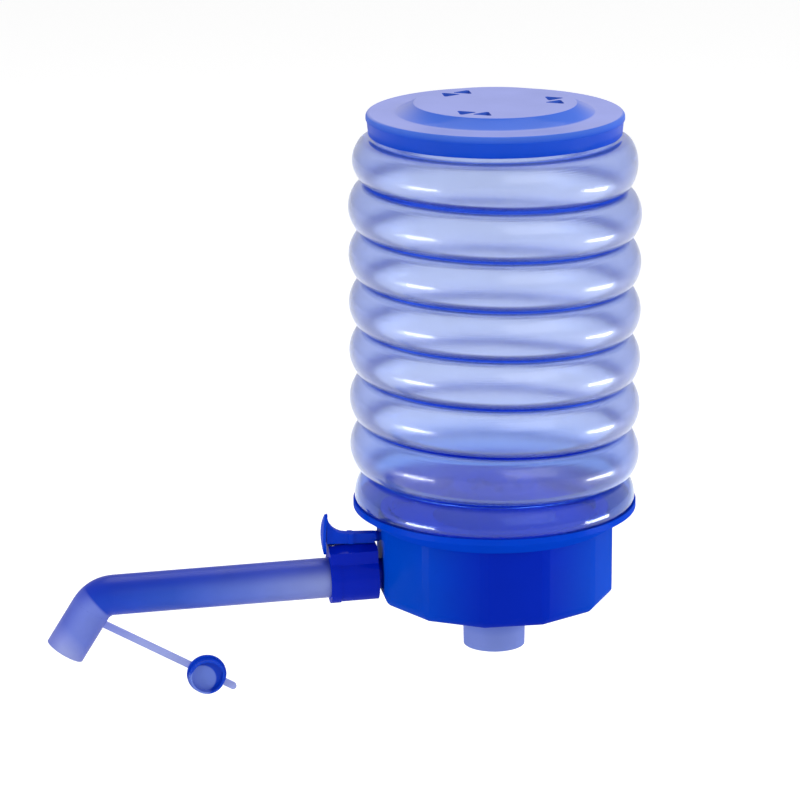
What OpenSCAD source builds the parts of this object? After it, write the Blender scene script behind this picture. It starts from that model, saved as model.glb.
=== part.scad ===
// Hand pump for a large water bottle: a ringed bellows on a twelve-sided base
// that grips the bottle's neck, with a spout arm, a vent lever and a stopper.
// The origin is on the pump's axis in the plane of the base's lower edge.
// Z points up and the spout arm leaves along -X.

/* [Bellows] */
// Number of rings
ring_count = 8; // [5:1:10]
// Height from one ring to the next
ring_pitch = 19.6; // [18.5:0.1:22]
// How far a full ring stands out over the saucer's rim
ring_over = 1.1; // [0.4:0.1:1.6]
// How far the first and the last ring stay inside the saucer's rim
end_ring_in = 0.6; // [0.3:0.1:1]
// Radius of the curve over a ring's crown
crown_curve_r = 13; // [12:0.1:15]
// Radius of the curve at a ring's upper and lower edge
edge_curve_r = 5; // [4:0.1:5.8]
// Width of the groove between two rings
groove_w = 0.8; // [0.5:0.1:1.4]
// Depth of a groove below the first ring's crown
groove_depth = 6.7; // [6.5:0.1:7.4]
// Thickness of the bellows wall
bellows_wall = 1; // [0.6:0.1:1.2]
// How far the collar that goes up into the cap is inside the last ring's crown
collar_step = 7.7; // [7.4:0.1:8.4]
// Height of that collar above the last ring
collar_h = 8; // [6:0.1:9]
// Radius of the curve from the lowest ring into its foot
foot_curve_r = 5.5; // [5:0.1:6]
// How far the foot flange reaches in over the saucer's floor
foot_in = 3.7; // [3:0.1:4.2]

/* [Top cap] */
// Height of the cap's skirt below its rim
skirt_h = 8.6; // [7.5:0.1:9]
// Wall of the skirt
skirt_wall = 1.9; // [1.5:0.1:1.9]
// Thickness of the cap's top
cap_top_t = 2; // [1.5:0.1:2.4]
// Rounding of the cap's upper edge
cap_round_r = 1.8; // [1:0.1:1.8]
// Width of the cap's rim outside the plateau
cap_rim_w = 11.7; // [10.5:0.1:13]
// Width of the plateau's slope
plateau_slope_w = 6; // [4.5:0.1:7]
// Height of the plateau above the rim
plateau_h = 3.6; // [3:0.1:5]
// Distance from the plateau's edge in to the middle of the vents
vent_in = 9.7; // [8.5:0.1:11]
// Distance from a vent triangle's centre to its corners
vent_tri_r = 4.4; // [3.5:0.1:4.6]
// Distance between the two triangles of a pair
vent_pair_gap = 7.8; // [7.4:0.1:9]
// Radial thickness of the ring that clamps the bellows in the cap
clamp_t = 2.4; // [1.6:0.1:3]

/* [Valves] */
// Thickness of a valve disc
disc_t = 1; // [0.6:0.1:1.4]
// Lift of a valve disc
disc_lift = 1.2; // [0.8:0.1:1.6]
// Radius of a valve button's shaft
button_r = 2.5; // [2:0.1:3]
// Radius of a valve button's head
button_head_r = 6; // [5:0.1:7]
// Height of a valve button's head
button_head_h = 1.2; // [1:0.1:2]
// How much smaller the intake valve disc is than the plateau
intake_disc_in = 2.5; // [2:0.1:3.5]
// Radius of the discharge valve disc
discharge_disc_r = 14.6; // [13.8:0.1:15]

/* [Saucer and dome] */
// How far the saucer's rim stands out over the cone's foot
rim_over = 9; // [8.6:0.1:9.8]
// Height of the rim's straight outer wall
rim_h = 2.5; // [2:0.1:3.5]
// Height of the saucer's cone
cone_h = 6; // [5.5:0.1:7]
// How far the cone's foot stands out over the drum's sides
cone_over = 1.5; // [1.2:0.1:2.2]
// Wall of the cone
saucer_wall = 1.2; // [1:0.1:1.3]
// Thickness of the rim at its upper edge
rim_lip_t = 0.65; // [0.5:0.05:0.7]
// Thickness of the saucer's floor
floor_t = 2; // [1.6:0.1:2.4]
// Height of the floor's upper face above the base
floor_rise = 1.3; // [1:0.1:1.5]
// Radius of the dome at the floor
dome_foot_r = 25; // [23:0.1:27]
// Radius of the dome's top
dome_top_r = 18; // [17.4:0.1:19]
// Height of the dome above the floor
dome_h = 12.7; // [11:0.1:15]
// Wall of the dome
dome_wall = 1.8; // [1.4:0.1:2]
// Number of air holes in the dome
air_hole_count = 6; // [4:1:8]
// Radius of an air hole
air_hole_r = 2.2; // [1.6:0.1:2.4]
// Radius of the circle of air holes
air_circle_r = 10; // [9.4:0.1:10.6]
// Radial thickness of the ring that clamps the bellows' foot
foot_clamp_t = 3.4; // [2.4:0.1:3.6]

/* [Base drum] */
// Number of sides
drum_sides = 12; // [12]
// Distance from the bottle's neck out to a flat side
drum_over = 19.3; // [19:0.1:20]
// Height of the drum
drum_h = 32.5; // [31:0.1:36]
// Wall of the drum
drum_wall = 2.6; // [2.5:0.1:2.8]
// How far the corners are rounded in
corner_cut = 0.45; // [0.2:0.05:0.8]
// Rounding of the lower edge
drum_round_r = 5; // [4:0.1:5.6]
// Thickness of the deck over the bottle's mouth
deck_t = 2; // [1.6:0.1:2.4]
// Distance from the drum's top down to the deck's lower face
plenum_h = 11; // [10.8:0.1:11.4]
// Thickness of a rib
rib_t = 1.6; // [1:0.1:2]

/* [Bottle neck] */
// Outside radius of the bottle's neck
neck_r = 27.5; // [27:0.1:27.9]
// Width of the bottle's lip from its neck in to its mouth
bottle_lip_w = 6; // [5.4:0.1:6.8]
// Room between the bottle's neck and the sleeve
neck_room = 2.7; // [2.5:0.1:2.9]
// Wall of the sleeve
sleeve_wall = 1.8; // [1.4:0.1:1.9]
// Thickness of the neck seal
seal_t = 2.5; // [2:0.1:3]
// Number of gripping ridges in the grip ring
ridge_count = 3; // [2:1:3]
// Height of a gripping ridge
ridge_h = 1.5; // [1:0.1:2]
// Wall of the grip ring
grip_wall = 1.4; // [1:0.1:1.6]

/* [Water path] */
// Bore radius of the suction stub
suction_r = 10; // [8.5:0.1:10.5]
// Depth of the suction bore
suction_depth = 20; // [16:0.1:21]
// Outside radius of the stub in the plane of the base's lower edge
stub_r = 12.9; // [12.6:0.1:13.4]
// How much thinner the stub is at its lower end
stub_taper = 0.4; // [0:0.1:0.6]
// Length of the stub below the base
stub_drop = 21.4; // [21:0.1:24]
// Height of the stub above the base's lower edge
stub_rise = 8; // [7:0.1:10]
// Outside radius of the down pipe
pipe_r = 7; // [6.4:0.1:7.4]
// Bore radius of the water path
water_r = 5.2; // [4.4:0.1:5.4]
// Wall of the water duct
duct_wall = 1.3; // [1:0.1:1.5]
// Outside height of the duct's arm
duct_h = 7.6; // [7:0.1:7.8]
// Outside depth of the duct's riser
riser_d = 7; // [6.4:0.1:7.1]
// Thickness of the O-rings
o_ring_t = 1; // [0.8:0.1:1.1]

/* [Spout] */
// Distance from the drum's top down to the spout's axis
socket_drop = 21.7; // [21:0.1:22.2]
// Droop of the spout arm
spout_droop = 1.6; // [0:0.1:3]
// Outside radius of the socket
socket_r = 10.2; // [9.9:0.1:10.5]
// How much wider the socket's mouth is
socket_flare = 0.35; // [0.1:0.05:0.6]
// Length of the socket's mouth band
socket_band = 4; // [3:0.1:5]
// Length of the socket's body
socket_len = 19.5; // [19:0.1:22]
// Gap between the drum and the socket's body
socket_gap = 1.8; // [1.4:0.1:2.4]
// Radius of the tail
tail_r = 6.2; // [5.9:0.1:6.3]
// Outside radius of the spout tube
tube_r = 8.15; // [7.8:0.05:8.3]
// Wall of the spout tube
tube_wall = 0.95; // [0.8:0.05:1.2]
// Length of the arm from the socket's mouth to the bend's corner
arm_len = 93.5; // [60:0.5:140]
// Turn of the nozzle down from the arm
nozzle_turn = 56.2; // [30:0.1:80]
// Length of the nozzle from the bend's corner
nozzle_len = 26.5; // [24:0.1:40]
// Radius of the bend along its middle
bend_r = 11; // [9.5:0.1:14]
// Height and length of the snap bead on the tube's inner end
bead_h = 0.5; // [0.3:0.1:0.6]

/* [Vent lever] */
// Distance from the drum to the lever's pin
pin_x = 12.3; // [11:0.1:13]
// Height of the pin above the spout's axis
pin_z = 12.3; // [12.2:0.1:12.7]
// Radius of the pin
pin_r = 0.9; // [0.7:0.1:1]
// Length of the pin
pin_len = 5.4; // [4.6:0.1:5.6]
// Rise of the resting lever towards its outer end
lever_rise = 2; // [1:0.1:3]
// Angle that the lever is pressed through
lever_press = 6; // [4:0.1:7]
// Thickness of the lever's blade
blade_t = 4; // [3.4:0.1:5]
// Height of the blade
blade_h = 4.2; // [3.8:0.1:4.4]
// Height of the blade's lower edge above the pin
blade_lift = 2; // [1.9:0.1:2.2]
// Height of the thumb piece's tip above the pin
thumb_tip = 14; // [12:0.1:16]
// How far the thumb piece reaches below the pin
thumb_drop = 3; // [2:0.1:3.2]
// Thickness of the thumb piece
thumb_t = 1.2; // [1:0.1:1.6]
// Gap between the socket's mouth and the thumb piece
thumb_gap = 0.8; // [0.7:0.1:1.2]
// Width of the thumb piece
thumb_w = 8; // [5:0.1:12]
// Radius of the curve from the thumb piece into the blade
thumb_curve_r = 8; // [6:0.1:9]
// Thickness of the tab in the saddle's slot
tab_t = 2.4; // [2:0.1:2.8]
// Height of the saddle's shoulder above the spout's axis
saddle_shoulder = 12.1; // [11.8:0.1:12.4]
// Width of the saddle across its shoulders
saddle_w = 15; // [13:0.1:16]
// Radius of the lever's spring
spring_r = 1; // [0.8:0.05:1.1]
// Thickness of the spring's wire
spring_wire = 0.35; // [0.3:0.05:0.45]
// Turns of the spring
spring_turns = 4; // [3:1:5]
// Radius of the vent port
port_r = 1; // [0.8:0.1:1.1]
// Radius of the vent pad
pad_r = 2.2; // [2.1:0.1:2.4]
// Thickness of the vent pad
pad_t = 1.2; // [1:0.1:1.4]

/* [Stopper] */
// Distance from the bend's corner to the strap's peg
peg_at = 12.3; // [10:0.1:13]
// Radius of the peg
peg_r = 1.55; // [1.3:0.05:1.7]
// Length of the strap from the peg to the plug
strap_len = 57.9; // [45:0.1:70]
// Length of the strap's tail beyond the plug
tail_tab = 13.9; // [10:0.1:16]
// Width of the strap
strap_w = 2.8; // [2:0.1:3]
// Thickness of the strap
strap_t = 1.6; // [1.2:0.1:2]
// Slope of the strap below the horizontal
strap_slope = 29.7; // [20:0.1:60]
// Radius of the plug's flange
plug_flange_r = 8.1; // [7.6:0.1:8.6]
// Thickness of the plug's flange
plug_flange_t = 1.2; // [1:0.1:1.6]
// Length of the plug's cup
plug_len = 3.8; // [3:0.1:4.2]
// Wall of the plug's cup
plug_wall = 0.75; // [0.6:0.05:1]

/* [Fits] */
// Radial clearance of a turning or sliding shaft
run_fit = 0.05; // [0.02:0.01:0.09]
// Clearance between pieces that stay apart
clear = 0.3; // [0.25:0.01:0.35]

/* [Hidden] */
$fn = 96;
blue = "#1440c8";
pale = "#8f9ce6";
clear_blue = "#9aa6ee";
milk = "#dfe3f5";
black = "#20242c";
steel = "#b9bec6";

over = 1;
small = 0.02;

// Radii from the bottle's neck outwards
mouth_r = neck_r - bottle_lip_w;
sleeve_r = neck_r + neck_room;
drum_face = neck_r + drum_over;
cone_foot_r = drum_face + cone_over;
rim_r = cone_foot_r + rim_over;
ring_r = rim_r + ring_over;
end_ring_r = rim_r - end_ring_in;
groove_r = end_ring_r - groove_depth;
collar_r = end_ring_r - collar_step;
foot_r = cone_foot_r - foot_in;
cap_r = collar_r + clear + skirt_wall;
plateau_foot_r = cap_r - cap_rim_w;
plateau_r = plateau_foot_r - plateau_slope_w;
vent_circle_r = plateau_r - vent_in;
intake_disc_r = plateau_r - intake_disc_in;

// Heights of the base
cone_a = atan(cone_h / rim_over);
deck_z = drum_h - plenum_h;
socket_z = drum_h - socket_drop;
rim_low_z = drum_h + cone_h;
rim_top_z = rim_low_z + rim_h;
floor_z = drum_h + floor_rise;
dome_z = floor_z + dome_h;
deck_top = deck_z + deck_t;
drum_corner = drum_face / cos(180 / drum_sides);
drum_in = drum_face - drum_wall;
foot_wall = 0.6;
foot_wall_z = drum_round_r + drum_wall / 2;

// Heights of the bellows
first_ring_rise = 2.1;
first_z = rim_top_z + first_ring_rise;
ring_half = (ring_pitch - groove_w) / 2;
edge_z = ring_half - edge_curve_r;
edge_out = sqrt(pow(crown_curve_r - edge_curve_r, 2) - pow(edge_z, 2));
join_a = asin(edge_z / (crown_curve_r - edge_curve_r));
last_z = first_z + (ring_count - 1) * ring_pitch;
collar_z = last_z + ring_half;
collar_top = collar_z + collar_h;
foot_z = floor_z + clear;

// Heights of the cap
cap_under = collar_top + clear;
cap_rim_z = cap_under + cap_top_t;
plateau_z = cap_rim_z + plateau_h;
plateau_under = plateau_z - cap_top_t;
skirt_z = cap_rim_z - skirt_h;

// Places in the saucer, the drum and the neck
spigot_r = drum_in - clear;
spigot_t = 2;
spigot_h = 2.2;
spigot_z = drum_h - spigot_h;
gasket_t = 1;
ledge_h = 1.2;
ledge_z = spigot_z - gasket_t;
upstand_r = foot_r - foot_clamp_t / 2;
upstand_wall = 1.6;
upstand_h = 4.2;
inner_rim_r = rim_r - saucer_wall - clear / 2;
dome_boss_r = 5;
dome_boss_h = 2;
dome_round_a = 20;
sleeve_out = sleeve_r + sleeve_wall;
sleeve_z = 0.4;
lip_h = 0.8;
lip_in = 1;
grip_z = sleeve_z + lip_h;
grip_top = deck_z - seal_t;
grip_out = sleeve_r - run_fit;
ridge_gap = (grip_top - grip_z - ridge_h) / ridge_count;

// Places in the water path and the socket
riser_x = sleeve_out + clear;
tail_len = drum_face - riser_x - riser_d + duct_wall - clear / 2;
duct_half = water_r + duct_wall;
duct_top = floor_z - floor_t - clear;
duct_low = socket_z - tail_r - duct_wall;
port_wall = 1.2;
flange_w = 1.4;
pipe_end = -stub_drop + suction_depth + duct_wall + clear;
o_groove_z = stub_rise / 2;
groove_len = o_ring_t + 2 * clear;
mouth_x = socket_gap + socket_len;
tube_in_x = socket_gap + tail_r / 2;
tail_bore_r = tail_r - o_ring_t - duct_wall / 2;
bead_len = 1.2;
seal_x = mouth_x - socket_band - groove_len;
corner_x = mouth_x + arm_len;
bend_run = bend_r * tan(nozzle_turn / 2);
bend_lap = 1;
bend_draw = 0.05;

// Places in the lever
saddle_slope = 0.32;
saddle_top = saddle_shoulder + saddle_slope * saddle_w / 2;
lug_r = 2;
rib_w = 2;
rib_out = 0.8;
blade_top = blade_lift + blade_h;
pin_wx = -drum_face - pin_x * cos(spout_droop) - pin_z * sin(spout_droop);
pin_wz = socket_z - pin_x * sin(spout_droop) + pin_z * cos(spout_droop);
port_z = pin_wz + blade_lift + blade_h / 2;
port_boss_h = 0.8;
port_boss_r = 1.8;
pad_x = -drum_face - port_boss_h - run_fit;
holder_t = 1.4;
stem_r = 0.9;
stem_h = 1;
blade_in = -(pad_x - pad_t - holder_t / 2 - pin_wx);
thumb_in = mouth_x - pin_x + thumb_gap;
thumb_out = thumb_in + thumb_t + thumb_t / 2;
thumb_mid = (thumb_tip - thumb_drop) / 2;
leaf_half = (thumb_tip + thumb_drop) / 2 + clear;
leaf_r = (pow(leaf_half, 2) + pow(thumb_w / 2, 2)) / thumb_w;
thumb_face_r = 4 * leaf_half;
thumb_hollow_r = 4 * leaf_half;
pocket_r = spring_r + spring_wire / 2 + clear;
pocket_x = mouth_x - pocket_r - clear;
pocket_z = socket_r - clear;
spring_len = pin_z + blade_lift + (pocket_x - pin_x) * tan(spout_droop + lever_rise) - pocket_z - clear;

// Places in the stopper
peg_lx = corner_x + peg_at * cos(nozzle_turn);
peg_lz = -peg_at * sin(nozzle_turn);
peg_x = -drum_face - peg_lx * cos(spout_droop) - peg_lz * sin(spout_droop);
peg_z = socket_z - peg_lx * sin(spout_droop) + peg_lz * cos(spout_droop);
strap_gap = 1.2;
strap_y = tube_r + strap_gap;
peg_head_r = 2.4;
peg_head_h = 1;
stud_r = 1.5;
plug_r = tube_r - tube_wall - run_fit;

function arc(cr, cz, r, a0, a1, n) =
    [for (i = [0:n]) let (a = a0 + (a1 - a0) * i / n) [cr + r * cos(a), cz + r * sin(a)]];

// One ring's outline from its lower to its upper edge, inset from the outer face by t
function ring_line(z, r, t) = let (c = r - crown_curve_r)
    concat(arc(c + edge_out, z - edge_z, edge_curve_r - t, -90, -join_a, 4),
        arc(c, z, crown_curve_r - t, -join_a * 2 / 3, join_a * 2 / 3, 4),
        arc(c + edge_out, z + edge_z, edge_curve_r - t, join_a, 90, 4));

// The foot up from the saucer's cone, then the upper half of the lowest ring
function low_ring_line(z, r, t) = let (c = r - crown_curve_r)
    concat(arc(r - foot_curve_r, z, foot_curve_r - t, cone_a - 90, 0, 5),
        arc(c, z, crown_curve_r - t, join_a / 3, join_a * 2 / 3, 1),
        arc(c + edge_out, z + edge_z, edge_curve_r - t, join_a, 90, 4));

function ring_size(k) = (k == 0 || k == ring_count - 1) ? end_ring_r : ring_r;

// The whole wall's line from foot to collar
function bellows_line(t) = [for (k = [0:ring_count - 1])
    let (z = first_z + k * ring_pitch, r = ring_size(k),
        outline = k == 0 ? low_ring_line(z, r, t) : ring_line(z, r, t),
        low = k == 0 ? [] : [[groove_r - t, z - ring_half + t]],
        top = k == ring_count - 1 ? [] : [[groove_r - t, z + ring_half - t]])
    each concat(low, outline, top)];

foot_end_r = ring_size(0) - foot_curve_r + foot_curve_r * sin(cone_a);
foot_end_z = first_z - foot_curve_r * cos(cone_a);
foot_line_r = foot_end_r - (foot_end_z - foot_z) / tan(cone_a);

module bellows() color(clear_blue) rotate_extrude() polygon(concat(
    [[foot_r, foot_z], [foot_line_r, foot_z]],
    bellows_line(0),
    [[collar_r, collar_z], [collar_r, collar_top],
        [collar_r - bellows_wall, collar_top], [collar_r - bellows_wall, collar_z - bellows_wall]],
    reverse(bellows_line(bellows_wall)),
    [[foot_line_r - bellows_wall * tan(cone_a / 2), foot_z + bellows_wall],
        [foot_r, foot_z + bellows_wall]]));

function reverse(list) = [for (i = [len(list) - 1:-1:0]) list[i]];

module ring(r_in, r_out, z0, z1) translate([0, 0, z0]) difference() {
    cylinder(r = r_out, h = z1 - z0);
    translate([0, 0, -over]) cylinder(r = r_in, h = z1 - z0 + 2 * over);
}

// Top cap with its vents and the boss for the valve button
module cap_profile() polygon(concat(
    [[0, plateau_under], [plateau_r - cap_top_t / 2, plateau_under],
        [plateau_foot_r - cap_top_t / 2, cap_under], [cap_r - skirt_wall, cap_under],
        [cap_r - skirt_wall, skirt_z], [cap_r, skirt_z]],
    arc(cap_r - cap_round_r, cap_rim_z - cap_round_r, cap_round_r, 0, 90, 5),
    [[plateau_foot_r, cap_rim_z], [plateau_r, plateau_z], [0, plateau_z]]));

module vent_pairs() for (k = [0:2]) rotate([0, 0, 120 * k])
    for (s = [-1, 1]) translate([vent_circle_r, s * vent_pair_gap / 2, plateau_under - over])
        rotate([0, 0, s * (k == 2 ? -1 : 1) > 0 ? 0 : 180])
            cylinder(r = vent_tri_r, h = cap_top_t + 2 * over, $fn = 3);

intake_disc_z = plateau_under - disc_lift - disc_t;
intake_head_z = intake_disc_z - button_head_h;

module top_cap() color(blue) difference() {
    rotate_extrude() cap_profile();
    vent_pairs();
    translate([0, 0, plateau_under - over]) cylinder(r = button_r, h = cap_top_t / 2 + over);
}

module valve_button(z, h) {
    translate([0, 0, z]) cylinder(r = button_head_r, h = button_head_h);
    translate([0, 0, z + button_head_h - small]) cylinder(r = button_r - small, h = h + small);
}

module valve_disc(r, z) ring(button_r + run_fit, r, z, z + disc_t);

module intake_valve_disc() color(milk) valve_disc(intake_disc_r, intake_disc_z);

module intake_valve_button() color(blue)
    valve_button(intake_head_z, disc_t + disc_lift + cap_top_t / 2 - small);

module cap_clamp_ring() color(blue) let (r = collar_r - bellows_wall - clear)
    ring(r - clamp_t, r, skirt_z + clear, cap_under);

// Saucer: rim, cone, floor, clamp wall and dome in one moulding
function cone_in_z(r) = drum_h + (r - cone_foot_r) * tan(cone_a) + saucer_wall / cos(cone_a);

module saucer_profile() polygon(concat(
    [[0, dome_z - dome_wall], [dome_top_r - dome_wall, dome_z - dome_wall],
        [dome_foot_r - dome_wall, floor_z - floor_t],
        [spigot_r - spigot_t, floor_z - floor_t],
        [spigot_r - spigot_t, spigot_z], [spigot_r, spigot_z],
        [spigot_r, drum_h], [cone_foot_r, drum_h], [rim_r, rim_low_z], [rim_r, rim_top_z],
        [rim_r - rim_lip_t, rim_top_z], [inner_rim_r, cone_in_z(inner_rim_r)],
        [cone_foot_r + (floor_z - cone_in_z(cone_foot_r)) / tan(cone_a), floor_z],
        [upstand_r, floor_z], [upstand_r, floor_z + upstand_h],
        [upstand_r - upstand_wall, floor_z + upstand_h], [upstand_r - upstand_wall, floor_z],
        [dome_foot_r, floor_z]],
    arc(dome_top_r - dome_wall, dome_z - dome_wall, dome_wall, dome_round_a, 90, 4),
    [[0, dome_z]]));

discharge_disc_z = dome_z - dome_wall - disc_lift - disc_t;
discharge_head_z = discharge_disc_z - button_head_h;

module bellows_saucer() color(blue) difference() {
    union() {
        rotate_extrude() saucer_profile();
        translate([0, 0, dome_z - small]) cylinder(r = dome_boss_r, h = dome_boss_h + small);
    }
    for (k = [0:air_hole_count - 1]) rotate([0, 0, (k + 0.5) * 360 / air_hole_count])
        translate([air_circle_r, 0, dome_z - dome_wall - over])
            cylinder(r = air_hole_r, h = dome_wall + 2 * over);
    translate([0, 0, dome_z - dome_wall - over])
        cylinder(r = button_r, h = dome_wall + dome_boss_h / 2 + over);
}

module discharge_valve_disc() color(milk) valve_disc(discharge_disc_r, discharge_disc_z);

module discharge_valve_button() color(blue)
    valve_button(discharge_head_z, disc_t + disc_lift + dome_wall + dome_boss_h / 2 - small);

module bellows_clamp_ring() color(blue) let (z = foot_z + bellows_wall + clear)
    ring(upstand_r + small, upstand_r + foot_clamp_t, z, z + foot_clamp_t / 2);

// Base drum: twelve-sided wall, deck, neck sleeve and ribs
module sided(r_face, h) rotate([0, 0, 180 / drum_sides])
    cylinder(r = r_face / cos(180 / drum_sides), h = h, $fn = drum_sides);

module lower_edge_cuts() for (k = [0:drum_sides - 1]) rotate([0, 0, k * 360 / drum_sides])
    translate([drum_face - drum_round_r, 0, 0]) rotate([90, 0, 0])
        linear_extrude(height = drum_corner, center = true) difference() {
            translate([0, -over]) square([drum_round_r + over, drum_round_r + over]);
            translate([small, drum_round_r - small]) circle(r = drum_round_r);
        }

module drum_shell() difference() {
    intersection() {
        sided(drum_face, drum_h);
        cylinder(r = drum_corner - corner_cut, h = drum_h);
    }
    lower_edge_cuts();
    translate([0, 0, -over]) sided(drum_face - drum_round_r - foot_wall, foot_wall_z + 2 * over);
    translate([0, 0, foot_wall_z]) sided(drum_in, deck_z - foot_wall_z);
    translate([0, 0, deck_top]) sided(drum_in, drum_h);
    translate([0, 0, deck_z - over]) cylinder(r = mouth_r, h = deck_t + 2 * over);
}

module sleeve() {
    ring(sleeve_r, sleeve_out, sleeve_z, deck_z + small);
    ring(sleeve_r - lip_in, sleeve_r + small, sleeve_z, sleeve_z + lip_h);
}

module ribs() for (k = [0:drum_sides - 1]) if (k != drum_sides / 2)
    rotate([0, 0, k * 360 / drum_sides])
        translate([sleeve_out - small, -rib_t / 2, drum_round_r])
            cube([drum_in - sleeve_out + 2 * small, rib_t, deck_z - drum_round_r + small]);

// Ledge inside the wall that the gasket lies on
module ledge() translate([0, 0, ledge_z - ledge_h]) difference() {
    sided(drum_in + small, ledge_h);
    translate([0, 0, -over]) cylinder(r = spigot_r - spigot_t, h = ledge_h + 2 * over);
}

module base_drum() color(blue) difference() {
    union() {
        drum_shell();
        sleeve();
        ribs();
        ledge();
        translate([-drum_face - port_boss_h, 0, port_z]) rotate([0, 90, 0])
            cylinder(r = port_boss_r, h = port_boss_h + drum_wall / 2);
    }
    spout_frame() {
        along(-drum_round_r - foot_wall - over, over, tail_r + run_fit);
        along(-drum_round_r - foot_wall - over, -drum_wall, tail_r + run_fit + port_wall + clear);
    }
    translate([-drum_face - port_boss_h - over, 0, port_z]) rotate([0, 90, 0])
        cylinder(r = port_r, h = port_boss_h + drum_wall + 2 * over);
    translate([-riser_x - riser_d - clear, -duct_half - clear, deck_z - over])
        cube([riser_d + 2 * clear - small, 2 * (duct_half + clear), deck_t + 2 * over]);
}

module base_gasket() color(black) ring(spigot_r - spigot_t + small, spigot_r - small, ledge_z, spigot_z);

module neck_seal() color(milk) ring(mouth_r, sleeve_r - run_fit, deck_z - seal_t, deck_z);

module neck_grip_ring() color(milk) {
    ring(grip_out - grip_wall, grip_out, grip_z, grip_top);
    for (k = [0:ridge_count - 1])
        ring(neck_r + run_fit, grip_out - grip_wall + small,
            grip_z + (k + 0.5) * ridge_gap, grip_z + (k + 0.5) * ridge_gap + ridge_h);
}

// Frame of the spout: X runs out along the arm's axis from the drum's side
module spout_frame() translate([-drum_face, 0, socket_z]) rotate([0, 0, 180])
    rotate([0, spout_droop, 0]) children();

module along(x0, x1, r) translate([x0, 0, 0]) rotate([0, 90, 0]) cylinder(r = r, h = x1 - x0);

module groove(x, r_low, r_high, w) translate([x - w / 2, 0, 0]) rotate([0, 90, 0])
    ring(r_low, r_high, 0, w);

module o_ring(r_in) rotate_extrude() translate([r_in + o_ring_t / 2, 0])
    circle(r = o_ring_t / 2, $fn = 32);

module o_ring_along(x, r_in) translate([x, 0, 0]) rotate([0, 90, 0]) o_ring(r_in);

// Water duct: down pipe, arm over the bottle's mouth, riser and port
module duct_block(wall) {
    translate([-riser_x - riser_d + wall, -duct_half + wall, duct_top - duct_h + wall])
        cube([riser_x + riser_d - wall, 2 * (duct_half - wall), duct_h - 2 * wall]);
    translate([-riser_x - riser_d + wall, -duct_half + wall, duct_low + wall])
        cube([riser_d - 2 * wall, 2 * (duct_half - wall), duct_top - duct_low - 2 * wall]);
}

module water_duct() color(blue) difference() {
    union() {
        duct_block(0);
        translate([0, 0, pipe_end]) cylinder(r = pipe_r, h = duct_top - pipe_end);
        spout_frame() along(-tail_len - clear, -drum_wall - clear, tail_r + run_fit + port_wall);
        translate([-riser_x - riser_d - flange_w, -duct_half - flange_w, deck_top])
            cube([riser_d + 2 * flange_w, 2 * (duct_half + flange_w), duct_wall]);
    }
    duct_block(duct_wall);
    translate([0, 0, pipe_end - over])
        cylinder(r = water_r, h = duct_top - duct_wall - pipe_end + over);
    spout_frame() along(-tail_len - clear - small, 0, tail_r + run_fit);
    ring(pipe_r - o_ring_t, pipe_r + over, o_groove_z - groove_len / 2, o_groove_z + groove_len / 2);
}

module duct_o_ring() color(black) translate([0, 0, o_groove_z]) o_ring(pipe_r - o_ring_t + small);

module suction_stub() color(pale) difference() {
    union() {
        translate([0, 0, -stub_drop]) cylinder(r1 = stub_r - stub_taper, r2 = stub_r, h = stub_drop);
        translate([0, 0, -small]) cylinder(r = stub_r, h = stub_rise + small);
    }
    translate([0, 0, -stub_drop - over]) cylinder(r = suction_r, h = suction_depth + over);
    translate([0, 0, -stub_drop]) cylinder(r = water_r, h = stub_drop + pipe_end);
    translate([0, 0, pipe_end - clear]) cylinder(r = pipe_r + run_fit, h = stub_rise + stub_drop);
}

// Spout socket with the saddle that carries the lever
module saddle_block() translate([socket_gap, 0, 0]) rotate([90, 0, 90])
    linear_extrude(height = socket_len) polygon([
        [-saddle_w / 2, socket_r / 2], [saddle_w / 2, socket_r / 2],
        [saddle_w / 2, saddle_shoulder], [0, saddle_shoulder + saddle_slope * saddle_w / 2],
        [-saddle_w / 2, saddle_shoulder]]);

// Everything above a plane that runs through the saddle's top at the pin
module above(tilt, x0) lever_frame() translate([0, 0, blade_lift - clear])
    rotate([0, tilt, 0]) translate([x0, -saddle_w, 0]) cube([2 * socket_len, 2 * saddle_w, saddle_w]);

module spout_socket() color(blue) difference() {
    spout_frame() union() {
        along(socket_gap, mouth_x, socket_r);
        along(mouth_x - socket_band, mouth_x, socket_r + socket_flare);
        along(-tail_len, socket_gap + small, tail_r);
        saddle_block();
    }
    above(0, -socket_len);
    above(lever_press, 0);
    spout_frame() {
        along(-tail_len - over, mouth_x, tail_bore_r);
        along(tube_in_x, mouth_x + over, tube_r + run_fit);
        along(tube_in_x, tube_in_x + bead_len + 2 * clear, tube_r + bead_h + run_fit);
        groove(seal_x, tube_r, tube_r + run_fit + o_ring_t + 2 * small, groove_len);
        groove(-tail_len / 2, tail_r - o_ring_t, tail_r + over, groove_len);
        translate([pocket_x, 0, pocket_z]) cylinder(r = pocket_r, h = saddle_top);
    }
    lever_frame() {
        translate([-lug_r - clear, -tab_t / 2 - clear, -lug_r - clear])
            cube([2 * (lug_r + clear), tab_t + 2 * clear, saddle_top]);
        rotate([90, 0, 0]) cylinder(r = pin_r + run_fit, h = pin_len + 2 * clear, center = true);
    }
}

module socket_o_ring() color(black) spout_frame()
    o_ring_along(-tail_len / 2, tail_r - o_ring_t + small);

module spout_o_ring() color(black) spout_frame() o_ring_along(seal_x, tube_r + run_fit + small);

// Spout tube: arm, bend and nozzle, with the strap's peg behind the nozzle
module nozzle_frame() translate([corner_x, 0, 0]) rotate([0, nozzle_turn, 0]) children();

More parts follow.
